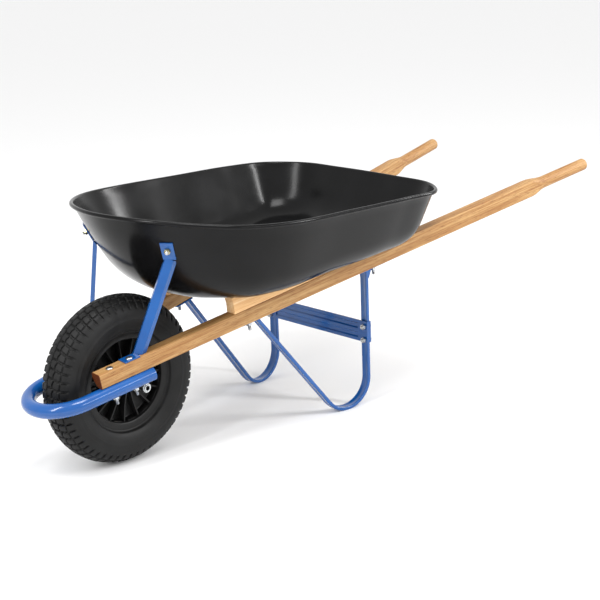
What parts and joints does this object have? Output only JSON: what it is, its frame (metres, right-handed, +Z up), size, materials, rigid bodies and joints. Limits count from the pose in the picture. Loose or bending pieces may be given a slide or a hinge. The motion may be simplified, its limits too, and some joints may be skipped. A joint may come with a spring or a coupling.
{
  "type": "wheelbarrow",
  "caption": "Single-wheel wheelbarrow: pressed steel tray on wooden handles, looped wheel guard, strut legs and a pneumatic wheel",
  "frame": {"origin": "On the floor, under the middle of the whole barrow's bounding box", "axes": "+X forwards to the wheel, +Y to the left of the person pushing, +Z up"},
  "size_m": [1.6855, 0.6704, 0.6014],
  "materials": {
    "tray_paint": "satin black paint on pressed steel",
    "blue_paint": "glossy blue powder coat on steel",
    "handle_wood": "planed and turned ash, oiled",
    "wedge_wood": "sawn pale pine",
    "zinc": "bright zinc plate",
    "tyre_rubber": "moulded black rubber with block tread",
    "tube_rubber": "smooth butyl rubber",
    "rim_plastic": "moulded black plastic",
    "bearing_steel": "ground steel"
  },
  "bodies": {
    "frame": {"tray": "tray_paint", "front_loop": "blue_paint", "cross_brace": "blue_paint", "axle": "zinc", "handle_left": "handle_wood", "handle_right": "handle_wood", "wedge_left": "wedge_wood", "wedge_right": "wedge_wood", "front_brace_left": "blue_paint", "front_brace_right": "blue_paint", "leg_left": "blue_paint", "leg_right": "blue_paint", "axle_strap_left": "zinc", "axle_strap_right": "zinc", "spacer_left": "rim_plastic", "spacer_right": "rim_plastic", "loop_bolt_left": "zinc", "loop_bolt_right": "zinc", "loop_nut_left": "zinc", "loop_nut_right": "zinc", "brace_foot_bolt_left": "zinc", "brace_foot_bolt_right": "zinc", "brace_foot_nut_left": "zinc", "brace_foot_nut_right": "zinc", "leg_front_bolt_left": "zinc", "leg_front_bolt_right": "zinc", "leg_front_nut_left": "zinc", "leg_front_nut_right": "zinc", "leg_rear_bolt_left": "zinc", "leg_rear_bolt_right": "zinc", "leg_rear_nut_left": "zinc", "leg_rear_nut_right": "zinc", "tray_bolt_left": "zinc", "tray_bolt_right": "zinc", "tray_nut_left": "zinc", "tray_nut_right": "zinc", "cross_upper_bolt_left": "zinc", "cross_upper_bolt_right": "zinc", "cross_upper_nut_left": "zinc", "cross_upper_nut_right": "zinc", "cross_lower_bolt_left": "zinc", "cross_lower_bolt_right": "zinc", "cross_lower_nut_left": "zinc", "cross_lower_nut_right": "zinc"},
    "wheel": {"tyre": "tyre_rubber", "inner_tube": "tube_rubber", "rim": "rim_plastic", "bearing_left": "bearing_steel", "bearing_right": "bearing_steel", "valve_stem": "tube_rubber", "valve_cap": "rim_plastic"}
  },
  "joints": [
    {"name": "wheel_spin", "type": "hinge", "parent": "frame", "child": "wheel", "pos_m": [0.5975, 0, 0.2], "axis": [0, 1, 0], "continuous": true}
  ]
}
